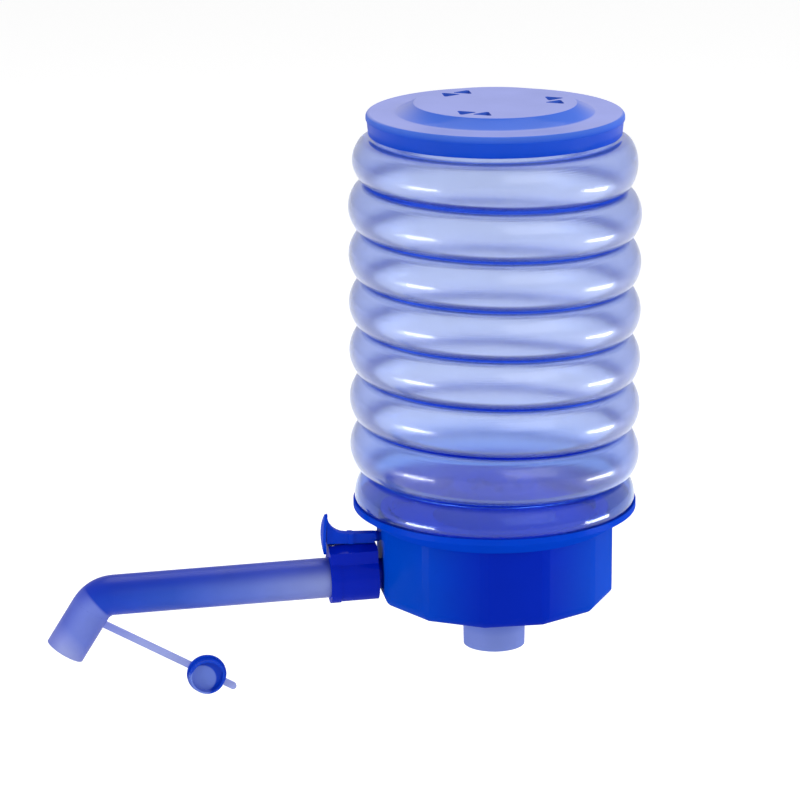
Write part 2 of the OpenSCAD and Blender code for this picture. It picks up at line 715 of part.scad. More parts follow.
module tube_run(r, more) {
    along(tube_in_x + clear - more, corner_x - bend_run, r);
    translate([corner_x - bend_run, 0, -bend_r]) rotate([90, 0, 0])
        rotate([0, 0, 90 - nozzle_turn - bend_lap]) rotate_extrude(angle = nozzle_turn + 2 * bend_lap)
            translate([bend_r, 0]) circle(r = r - bend_draw);
    nozzle_frame() along(bend_run, nozzle_len + more, r);
}

module spout_tube() color(pale) spout_frame() difference() {
    union() {
        tube_run(tube_r, 0);
        along(tube_in_x + clear, tube_in_x + clear + bead_len, tube_r + bead_h);
        nozzle_frame() translate([peg_at, 0, 0]) rotate([90, 0, 0]) {
            translate([0, 0, tube_r / 2]) cylinder(r = peg_r, h = strap_y + strap_t + clear - tube_r / 2);
            translate([0, 0, strap_y + strap_t + clear]) cylinder(r = peg_head_r, h = peg_head_h);
        }
    }
    tube_run(tube_r - tube_wall, over);
}

// Vent lever, its pin, pad and spring. The frame's X runs out along the blade from the pin
module lever_frame() spout_frame() translate([pin_x, 0, pin_z])
    rotate([0, -spout_droop - lever_rise, 0]) children();

module side_plate(t) rotate([90, 0, 0]) linear_extrude(height = t, center = true) children();

module blade_outline() polygon(concat(
    [[blade_in, blade_lift], [thumb_in, blade_lift], [thumb_in, blade_top + thumb_curve_r]],
    arc(thumb_in - thumb_curve_r, blade_top + thumb_curve_r, thumb_curve_r, -8, -90, 6),
    [[blade_in, blade_top]]));

module thumb_outline() intersection() {
    translate([thumb_out - thumb_face_r, thumb_mid]) circle(r = thumb_face_r);
    difference() {
        translate([thumb_in - clear, -thumb_drop]) square([2 * thumb_t, thumb_tip + thumb_drop]);
        translate([thumb_out - thumb_t - thumb_hollow_r, thumb_mid]) circle(r = thumb_hollow_r);
    }
}

// A pointed leaf, seen from the lever's end
module thumb_leaf() intersection_for(s = [-1, 1])
    translate([thumb_in - thumb_t, s * (leaf_r - thumb_w / 2), thumb_mid]) rotate([0, 90, 0])
        cylinder(r = leaf_r, h = 3 * thumb_t);

module vent_lever() color(blue) difference() {
    union() {
        lever_frame() {
            side_plate(blade_t) blade_outline();
            intersection() {
                side_plate(thumb_w) thumb_outline();
                thumb_leaf();
            }
            side_plate(tab_t) {
                circle(r = lug_r);
                translate([-lug_r, 0]) square([2 * lug_r, blade_lift + small]);
            }
            translate([-rib_w / 2, -blade_t / 2 - rib_out, blade_lift])
                cube([rib_w, blade_t + 2 * rib_out, blade_h]);
        }
        translate([pad_x - pad_t - holder_t, 0, port_z]) rotate([0, 90, 0])
            cylinder(r = pad_r, h = holder_t);
    }
    lever_frame() rotate([90, 0, 0]) cylinder(r = pin_r + run_fit, h = blade_t, center = true);
    translate([pad_x - pad_t - stem_h, 0, port_z]) rotate([0, 90, 0])
        cylinder(r = stem_r + small, h = stem_h + over);
}

module lever_pin() color(steel) lever_frame() rotate([90, 0, 0])
    cylinder(r = pin_r, h = pin_len, center = true);

module vent_pad() color(milk) {
    translate([pad_x - pad_t, 0, port_z]) rotate([0, 90, 0]) cylinder(r = pad_r, h = pad_t);
    translate([pad_x - pad_t - stem_h + small, 0, port_z]) rotate([0, 90, 0])
        cylinder(r = stem_r, h = stem_h);
}

spring_steps = 12;
wire_sides = 6;

function coil_ring(i) = let (n = spring_turns * spring_steps, a = 360 * i / spring_steps,
    z = spring_wire / 2 + (spring_len - spring_wire) * i / n)
    [for (j = [0:wire_sides - 1]) let (b = 360 * j / wire_sides, r = spring_r + spring_wire / 2 * cos(b))
        [r * cos(a), r * sin(a), z + spring_wire / 2 * sin(b)]];

function sweep_faces(rings, sides) = concat(
    [for (j = [1:sides - 2]) [0, j, j + 1]],
    [for (i = [0:rings - 2], j = [0:sides - 1]) let (a = i * sides + j, b = i * sides + (j + 1) % sides)
        each [[a, a + sides, b], [b, a + sides, b + sides]]],
    [for (j = [1:sides - 2]) let (e = (rings - 1) * sides) [e, e + j + 1, e + j]]);

module lever_spring() color(steel) spout_frame() translate([pocket_x, 0, pocket_z + small])
    polyhedron(points = [for (i = [0:spring_turns * spring_steps]) each coil_ring(i)],
        faces = sweep_faces(spring_turns * spring_steps + 1, wire_sides));

// Stopper: X runs down along the strap from the peg, Y is the pump's own Y
module stopper_frame() translate([peg_x, 0, peg_z]) rotate([0, strap_slope, 0]) children();

module back_disc(x, y, r, t) translate([x, y + t, 0]) rotate([90, 0, 0]) cylinder(r = r, h = t);

module stopper_strap() color(pale) stopper_frame() difference() {
    union() {
        back_disc(0, strap_y, peg_r + strap_w / 2, strap_t);
        back_disc(strap_len, strap_y, stud_r + strap_w / 2, strap_t);
        back_disc(strap_len + tail_tab - strap_w / 2, strap_y, strap_w / 2, strap_t);
        translate([0, strap_y, -strap_w / 2]) cube([strap_len + tail_tab - strap_w / 2, strap_t, strap_w]);
    }
    back_disc(0, strap_y - over, peg_r + run_fit, strap_t + 2 * over);
    back_disc(strap_len, strap_y - over, stud_r + small, strap_t + 2 * over);
}

module stopper_plug() color(blue) stopper_frame() difference() {
    union() {
        back_disc(strap_len, strap_y - small - plug_flange_t, plug_flange_r, plug_flange_t);
        back_disc(strap_len, strap_y - plug_flange_t - plug_len, plug_r, plug_len);
        back_disc(strap_len, strap_y - small, stud_r, strap_t + 3 * small);
        back_disc(strap_len, strap_y + strap_t + small, peg_head_r, peg_head_h);
    }
    back_disc(strap_len, strap_y - plug_flange_t - plug_len - over, plug_r - plug_wall,
        plug_len - plug_wall + over);
}

top_cap();
intake_valve_disc();
intake_valve_button();
cap_clamp_ring();
bellows();
bellows_clamp_ring();
bellows_saucer();
discharge_valve_disc();
discharge_valve_button();
base_drum();
base_gasket();
neck_seal();
neck_grip_ring();
water_duct();
duct_o_ring();
suction_stub();
spout_socket();
socket_o_ring();
spout_o_ring();
spout_tube();
vent_lever();
vent_pad();
lever_pin();
lever_spring();
stopper_strap();
stopper_plug();
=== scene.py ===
"""Looks of the hand pump for a large water bottle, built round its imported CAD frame."""

import math

import bpy
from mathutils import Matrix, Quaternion, Vector


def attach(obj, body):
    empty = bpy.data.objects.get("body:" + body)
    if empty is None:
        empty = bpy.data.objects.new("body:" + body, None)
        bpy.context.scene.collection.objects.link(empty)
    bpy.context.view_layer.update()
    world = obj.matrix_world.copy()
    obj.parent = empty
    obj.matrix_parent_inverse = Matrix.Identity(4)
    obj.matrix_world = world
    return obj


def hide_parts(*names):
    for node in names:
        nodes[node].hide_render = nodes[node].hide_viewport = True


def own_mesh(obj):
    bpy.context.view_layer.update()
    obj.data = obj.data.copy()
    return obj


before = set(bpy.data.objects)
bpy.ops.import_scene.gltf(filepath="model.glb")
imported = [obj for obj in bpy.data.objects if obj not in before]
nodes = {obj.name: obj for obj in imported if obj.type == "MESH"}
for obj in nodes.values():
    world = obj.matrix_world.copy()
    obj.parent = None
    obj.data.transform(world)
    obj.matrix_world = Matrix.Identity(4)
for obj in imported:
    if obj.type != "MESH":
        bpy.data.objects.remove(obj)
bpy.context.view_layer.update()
scene = bpy.context.scene
MM = 0.001


# Sizes of the bellows
RING_COUNT = 8
RING_PITCH = 19.6 * MM
RING_R = 58.4 * MM
END_INSET = 1.7 * MM
CROWN_R = 13.0 * MM
EDGE_R = 5.0 * MM
GROOVE_W = 0.8 * MM
GROOVE_R = 50.0 * MM
WALL = 1.0 * MM
COLLAR_R = 49.0 * MM
COLLAR_H = 8.0 * MM
FIRST_RING = 43.1 * MM
FOOT_Z = 34.1 * MM
FOOT_R = 44.6 * MM
FOOT_CURVE_R = 5.5 * MM
CONE_ANGLE = math.atan(6.0 / 9.0)
RING_LEAN = math.tan(math.radians(1.6))
HALF_RING = (RING_PITCH - GROOVE_W) / 2
COLLAR_Z = FIRST_RING + (RING_COUNT - 1) * RING_PITCH + HALF_RING
LEAN_FROM = FIRST_RING + 1.4 * MM
LEAN_TO = COLLAR_Z - 3.2 * MM
LEAN_FADE = 14 * MM
BELLOWS_STEPS = 256


# Sizes of the top cap
CAP_R = 51.2 * MM
CAP_RIM_Z = COLLAR_Z + COLLAR_H + 2.3 * MM
CAP_WALL = 1.9 * MM
CAP_TOP_T = 2.0 * MM
SKIRT_H = 8.6 * MM
LIP_H = 2.9 * MM
LIP_STEP = 0.45 * MM
SKIRT_DRAW = 0.5 * MM
PLATEAU_FOOT_R = 39.5 * MM
PLATEAU_R = 33.5 * MM
PLATEAU_H = 3.6 * MM
VENT_CIRCLE_R = 23.8 * MM
VENT_R = 5.0 * MM
VENT_PAIR_GAP = 7.8 * MM
PLATEAU_EDGE_R = 0.9 * MM
RIM_EDGE_R = 1.7 * MM
VENT_CORNER = 0.8 * MM
VENT_CORNER_STEPS = 4
CAP_STEPS = 192
AXIS_HOLE = 0.02 * MM
PLATEAU_TOP_IN = 2 * MM
PLATEAU_EDGE_IN = 1.6 * MM
SLOPE_FOOT_IN, SLOPE_FOOT_RISE = 0.6 * MM, 0.25 * MM
TRENCH_W, TRENCH_DIP = 2 * MM, 0.15 * MM
TRENCH_START_DIP = 0.05 * MM
RIM_FLAT_IN, RIM_FLAT_DIP = 3.4 * MM, 0.12 * MM
STEP_RISE, STEP_FALL = 0.3 * MM, 0.2 * MM
SKIRT_EDGE_H, SKIRT_EDGE_W = 0.3 * MM, 0.2 * MM
UNDER_IN = 1 * MM
SHARP_ANGLE = math.radians(40)
# Heights over which the painted sheen of the cap's lip comes in
LIP_SHADE = (CAP_RIM_Z - 3.4 * MM, CAP_RIM_Z - 0.4 * MM)


# Camera
CAMERA_TURN = math.radians(-8.7)
CAMERA_RISE = math.radians(15.8)
CAMERA_DISTANCE = 1.4508
CAMERA_LENS = 162.0
SENSOR_WIDTH = 36.0
CLIP_END = 20.0
CAMERA_ROLL = math.radians(0.3)
LOOK_SIDE = -0.0381
LOOK_HEIGHT = 0.0819


def make_camera():
    data = bpy.data.cameras.new("studio_camera")
    data.lens = CAMERA_LENS
    data.sensor_width = SENSOR_WIDTH
    data.clip_end = CLIP_END
    camera = bpy.data.objects.new("studio_camera", data)
    scene.collection.objects.link(camera)
    back = Vector((
        math.sin(CAMERA_TURN) * math.cos(CAMERA_RISE),
        -math.cos(CAMERA_TURN) * math.cos(CAMERA_RISE),
        math.sin(CAMERA_RISE),
    ))
    side = Vector((math.cos(CAMERA_TURN), math.sin(CAMERA_TURN), 0))
    target = side * LOOK_SIDE + Vector((0, 0, LOOK_HEIGHT))
    camera.location = target + back * CAMERA_DISTANCE
    camera.rotation_mode = "QUATERNION"
    camera.rotation_quaternion = (-back).to_track_quat("-Z", "Y") @ Quaternion((0, 0, 1), -CAMERA_ROLL)
    scene.camera = camera


make_camera()
scene.view_settings.view_transform = "Standard"


# Node helpers
def new_material(name):
    material = bpy.data.materials.new(name)
    material.use_nodes = True
    tree = material.node_tree
    tree.nodes.clear()
    output = tree.nodes.new("ShaderNodeOutputMaterial")
    shader = tree.nodes.new("ShaderNodeBsdfPrincipled")
    tree.links.new(shader.outputs["BSDF"], output.inputs["Surface"])
    return material, tree, shader, output


def place_group(tree, group, **values):
    node = tree.nodes.new("ShaderNodeGroup")
    node.node_tree = group
    for key, value in values.items():
        node.inputs[key.replace("_", " ")].default_value = value
    return node


def new_group(name, inputs, outputs):
    group = bpy.data.node_groups.new(name, "ShaderNodeTree")
    for label, kind, value in inputs:
        socket = group.interface.new_socket(label, in_out="INPUT", socket_type=kind)
        socket.default_value = value
    for label, kind in outputs:
        group.interface.new_socket(label, in_out="OUTPUT", socket_type=kind)
    start = group.nodes.new("NodeGroupInput")
    end = group.nodes.new("NodeGroupOutput")
    return group, start, end


def add(tree, kind, **settings):
    node = tree.nodes.new(kind)
    for key, value in settings.items():
        setattr(node, key, value)
    return node


def math_node(tree, operation, a, b=None):
    node = add(tree, "ShaderNodeMath", operation=operation)
    for socket, value in zip(node.inputs, (a, b)):
        if value is None:
            continue
        if isinstance(value, (int, float)):
            socket.default_value = value
        else:
            tree.links.new(value, socket)
    return node.outputs[0]


def mix_colour(tree, factor, a, b, blend="MIX"):
    node = add(tree, "ShaderNodeMix", data_type="RGBA", blend_type=blend)
    for socket, value in ((node.inputs[0], factor), (node.inputs[6], a), (node.inputs[7], b)):
        if isinstance(value, (int, float)):
            socket.default_value = value
        elif isinstance(value, (tuple, list)):
            socket.default_value = (*value, 1.0) if len(value) == 3 else value
        else:
            tree.links.new(value, socket)
    return node.outputs[2]


def ramp(tree, value, stops):
    node = add(tree, "ShaderNodeValToRGB")
    elements = node.color_ramp.elements
    while len(elements) < len(stops):
        elements.new(0.5)
    for element, (place, colour) in zip(elements, stops):
        element.position = place
        element.color = (*colour, 1.0)
    tree.links.new(value, node.inputs["Fac"])
    return node.outputs["Color"]


def remap(tree, value, low, high, to_low=0.0, to_high=1.0, smooth=False):
    node = add(tree, "ShaderNodeMapRange", clamp=True)
    if smooth:
        node.interpolation_type = "SMOOTHSTEP"
    tree.links.new(value, node.inputs["Value"])
    for label, number in (("From Min", low), ("From Max", high), ("To Min", to_low), ("To Max", to_high)):
        node.inputs[label].default_value = number
    return node.outputs["Result"]


def srgb(r, g, b):
    """A colour as read off a screen, in linear light."""
    def linear(c):
        c = c / 255.0
        return c / 12.92 if c <= 0.04045 else ((c + 0.055) / 1.055) ** 2.4
    return (linear(r), linear(g), linear(b))


# Shared effects
def moulding_marks():
    """Fine unevenness of moulded plastic: a slow cloud for the gloss and a fine skin for the bump."""
    group, start, end = new_group(
        "moulding_marks",
        [("Cloud Scale", "NodeSocketFloat", 30.0), ("Skin Scale", "NodeSocketFloat", 900.0)],
        [("Cloud", "NodeSocketFloat"), ("Skin", "NodeSocketFloat")],
    )
    place = add(group, "ShaderNodeTexCoord")
    cloud = add(group, "ShaderNodeTexNoise")
    cloud.inputs["Detail"].default_value = 3.0
    skin = add(group, "ShaderNodeTexNoise")
    skin.inputs["Detail"].default_value = 2.0
    for noise, label in ((cloud, "Cloud Scale"), (skin, "Skin Scale")):
        group.links.new(place.outputs["Object"], noise.inputs["Vector"])
        group.links.new(start.outputs[label], noise.inputs["Scale"])
    group.links.new(cloud.outputs["Fac"], end.inputs["Cloud"])
    group.links.new(skin.outputs["Fac"], end.inputs["Skin"])
    return group


def hair_scratches():
    """Sparse hair-fine scratches from handling."""
    group, start, end = new_group(
        "hair_scratches",
        [("Scale", "NodeSocketFloat", 120.0), ("Stretch", "NodeSocketFloat", 14.0)],
        [("Mask", "NodeSocketFloat")],
    )
    place = add(group, "ShaderNodeTexCoord")
    bend = add(group, "ShaderNodeTexNoise")
    bend.inputs["Scale"].default_value = 20.0
    group.links.new(place.outputs["Object"], bend.inputs["Vector"])
    shift = add(group, "ShaderNodeVectorMath", operation="SCALE")
    shift.inputs["Scale"].default_value = 0.004
    group.links.new(bend.outputs["Color"], shift.inputs[0])
    total = add(group, "ShaderNodeVectorMath", operation="ADD")
    group.links.new(place.outputs["Object"], total.inputs[0])
    group.links.new(shift.outputs[0], total.inputs[1])
    turn = add(group, "ShaderNodeVectorRotate", rotation_type="EULER_XYZ")
    turn.inputs["Rotation"].default_value = (0.5, 0.9, 0.3)
    group.links.new(total.outputs[0], turn.inputs["Vector"])
    squeeze = add(group, "ShaderNodeCombineXYZ")
    squeeze.inputs["X"].default_value = 1.0
    squeeze.inputs["Y"].default_value = 1.0
    group.links.new(start.outputs["Stretch"], squeeze.inputs["Z"])
    stretch = add(group, "ShaderNodeVectorMath", operation="MULTIPLY")
    group.links.new(turn.outputs[0], stretch.inputs[0])
    group.links.new(squeeze.outputs[0], stretch.inputs[1])
    noise = add(group, "ShaderNodeTexNoise")
    noise.inputs["Detail"].default_value = 1.0
    group.links.new(stretch.outputs[0], noise.inputs["Vector"])
    group.links.new(start.outputs["Scale"], noise.inputs["Scale"])
    line = math_node(group, "ABSOLUTE", math_node(group, "SUBTRACT", noise.outputs["Fac"], 0.5))
    group.links.new(remap(group, line, 0.0, 0.006, 1.0, 0.0), end.inputs["Mask"])
    return group


MARKS = moulding_marks()
SCRATCHES = hair_scratches()
CLOUD_LOW, CLOUD_HIGH = 0.3, 0.7
SKIN_DEPTH = 0.2 * MM


def clouded(tree, base, cloud, low=0.94, high=1.06):
    """The base colour made a little darker and lighter in slow clouds."""
    shade = remap(tree, cloud, CLOUD_LOW, CLOUD_HIGH, low, high)
    grey = add(tree, "ShaderNodeCombineColor")
    for channel in ("Red", "Green", "Blue"):
        tree.links.new(shade, grey.inputs[channel])
    return mix_colour(tree, 1.0, base, grey.outputs[0], "MULTIPLY")


def moulded_skin(tree, shader, marks, strength, more_height=None):
    """A slight bump from the fine skin, with another height on top of it where one is given."""
    bump = add(tree, "ShaderNodeBump")
    bump.inputs["Strength"].default_value = strength
    bump.inputs["Distance"].default_value = SKIN_DEPTH
    height = marks.outputs["Skin"]
    if more_height is not None:
        height = math_node(tree, "ADD", height, more_height)
    tree.links.new(height, bump.inputs["Height"])
    tree.links.new(bump.outputs["Normal"], shader.inputs["Normal"])


def cloud_gloss(tree, marks, low, high):
    """A roughness that wanders between two values with the slow cloud."""
    return remap(tree, marks.outputs["Cloud"], CLOUD_LOW, CLOUD_HIGH, low, high)


def face_way(tree):
    """X, Y and Z of the way that the surface faces."""
    shape = add(tree, "ShaderNodeNewGeometry")
    parts = add(tree, "ShaderNodeSeparateXYZ")
    tree.links.new(shape.outputs["Normal"], parts.inputs[0])
    return parts.outputs


def edge_on(tree, blend, power):
    """High where the surface is seen edge on."""
    rim = add(tree, "ShaderNodeLayerWeight")
    rim.inputs["Blend"].default_value = blend
    return math_node(tree, "POWER", rim.outputs["Facing"], power)


def top_sheen(tree, strength):
    """A mask for flat tops, and for slopes that don't face the front, where a sheen is painted into the
    colour.
    """
    way = face_way(tree)
    flat = remap(tree, way["Z"], 0.88, 0.985, 0.0, strength, smooth=True)
    slope = remap(tree, way["Z"], 0.6, 0.9, 0.0, strength)
    not_front = remap(tree, way["Y"], -0.36, 0.1, smooth=True)
    return math_node(tree, "MAXIMUM", flat, math_node(tree, "MULTIPLY", slope, not_front))


def plastic(name, colour, pale, roughness=0.3, coat=0.2, edge=0.3, painted_top_sheen=0.0):
    """Moulded plastic. The pale colour comes up where the wall is seen edge on, and as a painted sheen on flat
    tops.

    The colour is red, green and blue, or a function of the tree that gives a colour by place.
    """
    material, tree, shader, _ = new_material(name)
    marks = place_group(tree, MARKS, Cloud_Scale=30.0, Skin_Scale=1100.0)
    scratch = place_group(tree, SCRATCHES)
    grazing = math_node(tree, "MULTIPLY", edge_on(tree, 0.3, 3.0), edge)
    base = mix_colour(tree, grazing, colour(tree) if callable(colour) else colour, pale)
    # Painted sheen: flat tops, and slopes that don't face the front, are mixed towards the pale colour
    if painted_top_sheen:
        base = mix_colour(tree, top_sheen(tree, painted_top_sheen), base, pale)
    base = clouded(tree, base, marks.outputs["Cloud"])
    tree.links.new(base, shader.inputs["Base Color"])
    gloss = cloud_gloss(tree, marks, roughness * 0.8, roughness * 1.25)
    gloss = math_node(tree, "ADD", gloss, math_node(tree, "MULTIPLY", scratch.outputs["Mask"], 0.1))
    tree.links.new(gloss, shader.inputs["Roughness"])
    moulded_skin(tree, shader, marks, 0.05)
    shader.inputs["Specular IOR Level"].default_value = 0.0
    shader.inputs["Coat Weight"].default_value = coat
    shader.inputs["Coat Roughness"].default_value = 0.12
    return material


def position_parts(tree):
    """X, Y and Z of a point in the pump's own frame, in metres."""
    place = add(tree, "ShaderNodeTexCoord")
    parts = add(tree, "ShaderNodeSeparateXYZ")
    tree.links.new(place.outputs["Object"], parts.inputs[0])
    return parts.outputs


def length_of(tree, a, b):
    """The length of two steps at a right angle."""
    squares = [math_node(tree, "MULTIPLY", step, step) for step in (a, b)]
    return math_node(tree, "SQRT", math_node(tree, "ADD", *squares))


def fine_rings(tree):
    """Fine level lines that the blow mould leaves, as a height."""
    along = math_node(tree, "MULTIPLY", position_parts(tree)["Z"], 2 * math.pi / MOULD_LINE_PITCH)
    return math_node(tree, "MULTIPLY", math_node(tree, "SINE", along), 0.35)


def bellows_plastic():
    """See-through wall: pale face on, deep blue edge on, painted shade in the grooves, and deep blue in the
    lowest rings.
    """
    material, tree, shader, output = new_material("bellows_clear")
    marks = place_group(tree, MARKS, Cloud_Scale=45.0, Skin_Scale=700.0)
    deep = math_node(tree, "MULTIPLY", edge_on(tree, 0.5, 2.2), 0.95)
    base = mix_colour(tree, deep, BELLOWS_FACE, BELLOWS_EDGE)
    parts = position_parts(tree)
    across = length_of(tree, parts["X"], parts["Y"])
    # Painted shade: the wall is made deep blue near the bottoms of the grooves
    groove_shade = remap(tree, across, *GROOVE_SHADE_R, 0.95, 0.0, smooth=True)
    below_collar = remap(tree, parts["Z"], COLLAR_Z - 1.0 * MM, COLLAR_Z, 1.0, 0.0)
    base = mix_colour(tree, math_node(tree, "MULTIPLY", groove_shade, below_collar), base, GROOVE_SHADE_BLUE)
    low = remap(tree, parts["Z"], *LOW_TINT_Z, 0.85, 0.0, smooth=True)
    base = mix_colour(tree, low, base, LOW_RING_BLUE)
    tree.links.new(clouded(tree, base, marks.outputs["Cloud"], 0.97, 1.03), shader.inputs["Base Color"])
    clearer = remap(tree, parts["Z"], *LOW_CLEAR_Z, 0.3, 1.0)
    gloss = math_node(tree, "MULTIPLY", cloud_gloss(tree, marks, 0.16, 0.22), clearer)
    tree.links.new(gloss, shader.inputs["Roughness"])
    moulded_skin(tree, shader, marks, 0.04, fine_rings(tree))
    shader.inputs["Transmission Weight"].default_value = 0.94
    shader.inputs["IOR"].default_value = 1.3
    shader.inputs["Coat Weight"].default_value = 0.35
    shader.inputs["Coat Roughness"].default_value = 0.12
    soft_shadow(tree, shader, output, BELLOWS_FACE)
    return material


def soft_shadow(tree, shader, output, colour):
    """Lets light through to what stands inside or behind the wall."""
    clear = add(tree, "ShaderNodeBsdfTransparent")
    clear.inputs["Color"].default_value = (*[c ** 0.5 for c in colour], 1.0)
    path = add(tree, "ShaderNodeLightPath")
    mix = add(tree, "ShaderNodeMixShader")
    tree.links.new(path.outputs["Is Shadow Ray"], mix.inputs[0])
    tree.links.new(shader.outputs["BSDF"], mix.inputs[1])
    tree.links.new(clear.outputs["BSDF"], mix.inputs[2])
    tree.links.new(mix.outputs[0], output.inputs["Surface"])


def beyond_bend(tree, parts):
    """How far a point lies past the plane between the spout's arm and its nozzle."""
    steps = [
        math_node(tree, "MULTIPLY", math_node(tree, "SUBTRACT", parts[axis], edge), way)
        for axis, edge, way in zip("XZ", NOZZLE_EDGE, NOZZLE_WAY)
    ]
    return math_node(tree, "ADD", *steps)


def spout_plastic():
    """Satin see-through tube: deep blue at the bend, paler towards the collar and in the nozzle, with painted
    shade on its upper side.
    """
    material, tree, shader, output = new_material("spout_clear")
    marks = place_group(tree, MARKS, Cloud_Scale=60.0, Skin_Scale=900.0)
    parts = position_parts(tree)
    arm = ramp(tree, remap(tree, parts["X"], ARM_PALE_X, ARM_DEEP_X), ARM_BLUES)
    down = beyond_bend(tree, parts)
    nozzle = mix_colour(tree, remap(tree, down, *NOZZLE_PALE), *NOZZLE_BLUES)
    face = mix_colour(tree, remap(tree, down, *NOZZLE_START, smooth=True), arm, nozzle)
    # Painted shade: faces that point up are mixed towards the deep blue, as light from below would leave them
    painted_top_shade = remap(tree, face_way(tree)["Z"], 0.1, 0.85, 0.0, 0.8, smooth=True)
    deep = math_node(tree, "MAXIMUM", edge_on(tree, 0.5, 1.7), painted_top_shade)
    base = mix_colour(tree, deep, face, SPOUT_EDGE_AND_SHADE)
    tree.links.new(clouded(tree, base, marks.outputs["Cloud"]), shader.inputs["Base Color"])
    tree.links.new(cloud_gloss(tree, marks, 0.34, 0.46), shader.inputs["Roughness"])
    moulded_skin(tree, shader, marks, 0.06)
    shader.inputs["Transmission Weight"].default_value = 0.2
    shader.inputs["Specular IOR Level"].default_value = 0.1
    shader.inputs["Coat Weight"].default_value = 0.12
    shader.inputs["Coat Roughness"].default_value = 0.25
    soft_shadow(tree, shader, output, srgb(120, 136, 216))
    return material


def stub_shade(tree):
    """Painted shade: the stub is deeper under the drum and paler towards its open end."""
    low = remap(tree, position_parts(tree)["Z"], *STUB_SHADE_Z)
    return ramp(tree, low, ((0.0, srgb(66, 94, 196)), (0.5, srgb(92, 114, 204)), (1.0, srgb(122, 140, 214))))


def base_shade(tree):
    """Painted reflection: the drum is a little paler towards its two sides."""
    out = math_node(tree, "ABSOLUTE", position_parts(tree)["X"])
    side = remap(tree, out, *DRUM_SHADE_X, smooth=True)
    return mix_colour(tree, side, srgb(0, 36, 176), srgb(0, 68, 192))


def cap_shade(tree):
    """Painted sheen: the cap's lip is a little paler than its skirt."""
    lip_sheen = remap(tree, position_parts(tree)["Z"], *LIP_SHADE, smooth=True)
    return mix_colour(tree, lip_sheen, srgb(14, 74, 206), srgb(70, 112, 220))


def plug_shade(tree):
    """The floor of the plug's cup is thin and pale, and its rings are deep blue."""
    parts = position_parts(tree)
    steps = [math_node(tree, "SUBTRACT", parts[axis], centre) for axis, centre in zip("XZ", PLUG_CENTRE)]
    inside = remap(tree, length_of(tree, *steps), *PLUG_FLOOR_R, 1.0, 0.0)
    return mix_colour(tree, inside, srgb(10, 62, 192), srgb(104, 128, 212))


# Colours, and the places where they change
BELLOWS_FACE = srgb(212, 221, 244)
BELLOWS_EDGE = srgb(40, 104, 226)
# Deep blue of the painted shade in the bellows' grooves, and the radii where it fades
GROOVE_SHADE_BLUE = srgb(10, 84, 220)
GROOVE_SHADE_R = (GROOVE_R + 1.0 * MM, GROOVE_R + 3.8 * MM)
# The tint of the lowest rings stands for the blue dome behind them
LOW_RING_BLUE = srgb(96, 156, 242)
LOW_TINT_Z = (40 * MM, 66 * MM)
LOW_CLEAR_Z = (52 * MM, 62 * MM)
MOULD_LINE_PITCH = 0.9 * MM
ARM_PALE_X = -72.0 * MM
ARM_DEEP_X = -158.0 * MM
ARM_BLUES = (
    (0.0, srgb(140, 154, 216)), (0.35, srgb(96, 120, 208)),
    (0.7, srgb(42, 84, 196)), (1.0, srgb(10, 62, 188)),
)
# Deep blue for the spout seen edge on, and for the painted shade on its upper side
SPOUT_EDGE_AND_SHADE = srgb(2, 46, 180)
NOZZLE_EDGE = (-156.8 * MM, -0.8 * MM)
NOZZLE_WAY = (-0.766, -0.643)
NOZZLE_START = (-0.6 * MM, 0.8 * MM)
NOZZLE_PALE = (15 * MM, 22 * MM)
NOZZLE_BLUES = (srgb(112, 130, 212), srgb(150, 160, 218))
# Heights over which the stub's painted shade fades from under the drum to its open end
STUB_SHADE_Z = (-2 * MM, -15 * MM)
# Distances from the middle over which the drum's painted reflection comes in
DRUM_SHADE_X = (8 * MM, 44 * MM)
PLUG_CENTRE = (-119.8 * MM, -33.0 * MM)
PLUG_FLOOR_R = (5.4 * MM, 6.0 * MM)

BASE_BLUE = plastic("base_blue", base_shade, srgb(20, 76, 200), coat=0.06)
# The cap gets a painted sheen on its flat tops and on the slopes that don't face the front
CAP_BLUE = plastic("cap_blue", cap_shade, srgb(158, 165, 224), painted_top_sheen=0.9)
SAUCER_BLUE = plastic("saucer_blue", srgb(0, 62, 200), srgb(40, 100, 216), coat=0.06)
LEVER_BLUE = plastic("lever_blue", srgb(0, 62, 204), srgb(40, 90, 210), coat=0.12)
SOCKET_BLUE = plastic("socket_blue", srgb(0, 32, 176), srgb(30, 76, 200), coat=0.12)
STUB_BLUE = plastic("stub_blue", stub_shade, srgb(70, 96, 200), roughness=0.4, coat=0.1, edge=0.8)
STRAP_BLUE = plastic(
    "strap_blue", srgb(152, 162, 218), srgb(110, 126, 205), roughness=0.45, coat=0.05, edge=0.5)
PLUG_BLUE = plastic("plug_blue", plug_shade, srgb(90, 112, 212))
SOFT_RUBBER = plastic("soft_silicone", srgb(205, 210, 226), srgb(228, 231, 240), roughness=0.5, coat=0.0)
PAD_RUBBER = plastic("pad_rubber", srgb(10, 40, 150), srgb(60, 84, 180), roughness=0.5, coat=0.0)
BLACK_RUBBER = plastic("black_rubber", (0.02, 0.02, 0.022), (0.07, 0.07, 0.075), roughness=0.55, coat=0.0)
BELLOWS_CLEAR = bellows_plastic()
SPOUT_CLEAR = spout_plastic()


def bright_wire():
    material, tree, shader, _ = new_material("bright_wire")
    marks = place_group(tree, MARKS, Cloud_Scale=200.0, Skin_Scale=3000.0)
    shader.inputs["Base Color"].default_value = (0.62, 0.63, 0.65, 1.0)
    shader.inputs["Metallic"].default_value = 1.0
    tree.links.new(cloud_gloss(tree, marks, 0.22, 0.38), shader.inputs["Roughness"])
    return material


BRIGHT_WIRE = bright_wire()

